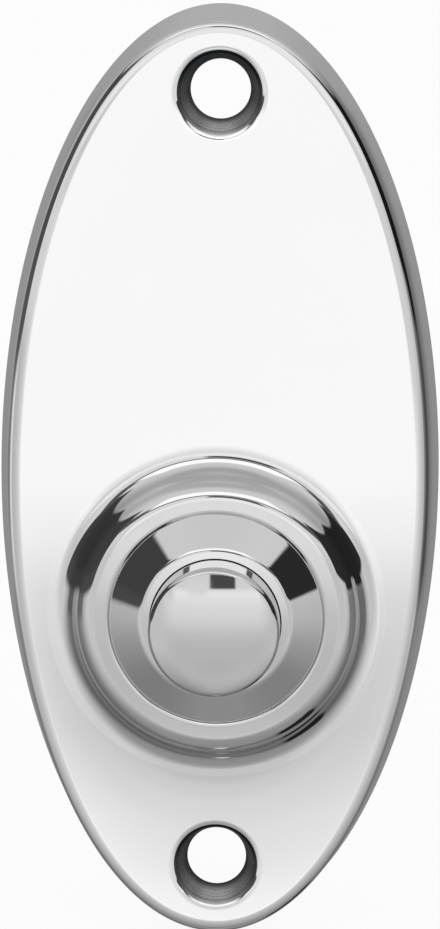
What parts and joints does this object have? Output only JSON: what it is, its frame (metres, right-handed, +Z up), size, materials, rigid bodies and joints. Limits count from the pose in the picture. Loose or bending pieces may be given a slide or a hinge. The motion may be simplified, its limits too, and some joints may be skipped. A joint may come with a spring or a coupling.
{
  "type": "doorbell push button",
  "caption": "Oval wall plate with a stepped round boss and a domed sprung push button that closes a bell contact, fixed through countersunk screw holes.",
  "frame": {"origin": "centre of the oval plate on the wall plane that its rim rests on", "axes": "+X to the right seen from the front, +Z up along the plate's long axis, +Y into the wall, so the front faces -Y"},
  "size_m": [0.038, 0.0141, 0.0816],
  "materials": {
    "chrome_plate": "polished chrome plate on a brass casting, dull as cast inside",
    "chrome_button": "polished chrome plate on turned brass",
    "phenolic": "dark brown moulded phenolic, semi-matt",
    "brass_strip": "half-hard brass strip, bright",
    "bronze_strip": "spring bronze strip, bright",
    "silver_point": "silver contact face",
    "brass_screw": "turned brass",
    "brass_washer": "stamped brass",
    "brass_nut": "brass",
    "steel_screw": "zinc plated steel"
  },
  "bodies": {
    "housing": {"plate": "chrome_plate", "contact_base": "phenolic", "fixed_contact": "brass_strip", "moving_contact": "bronze_strip", "fixed_contact_point": "silver_point", "terminal_screw_upper": "brass_screw", "terminal_screw_lower": "brass_screw", "terminal_washer_upper": "brass_washer", "terminal_washer_lower": "brass_washer", "terminal_nut_upper": "brass_nut", "terminal_nut_lower": "brass_nut", "base_screw_left": "steel_screw", "base_screw_right": "steel_screw"},
    "button": {"push_button": "chrome_button", "moving_contact_point": "silver_point"}
  },
  "joints": [
    {"name": "button_press", "type": "slide", "parent": "housing", "child": "button", "axis": [0, 1, 0], "range_m": [0, 0.0015], "stiffness_N_per_m": 600, "springref_m": -0.0008, "deforming": ["moving_contact"]}
  ]
}
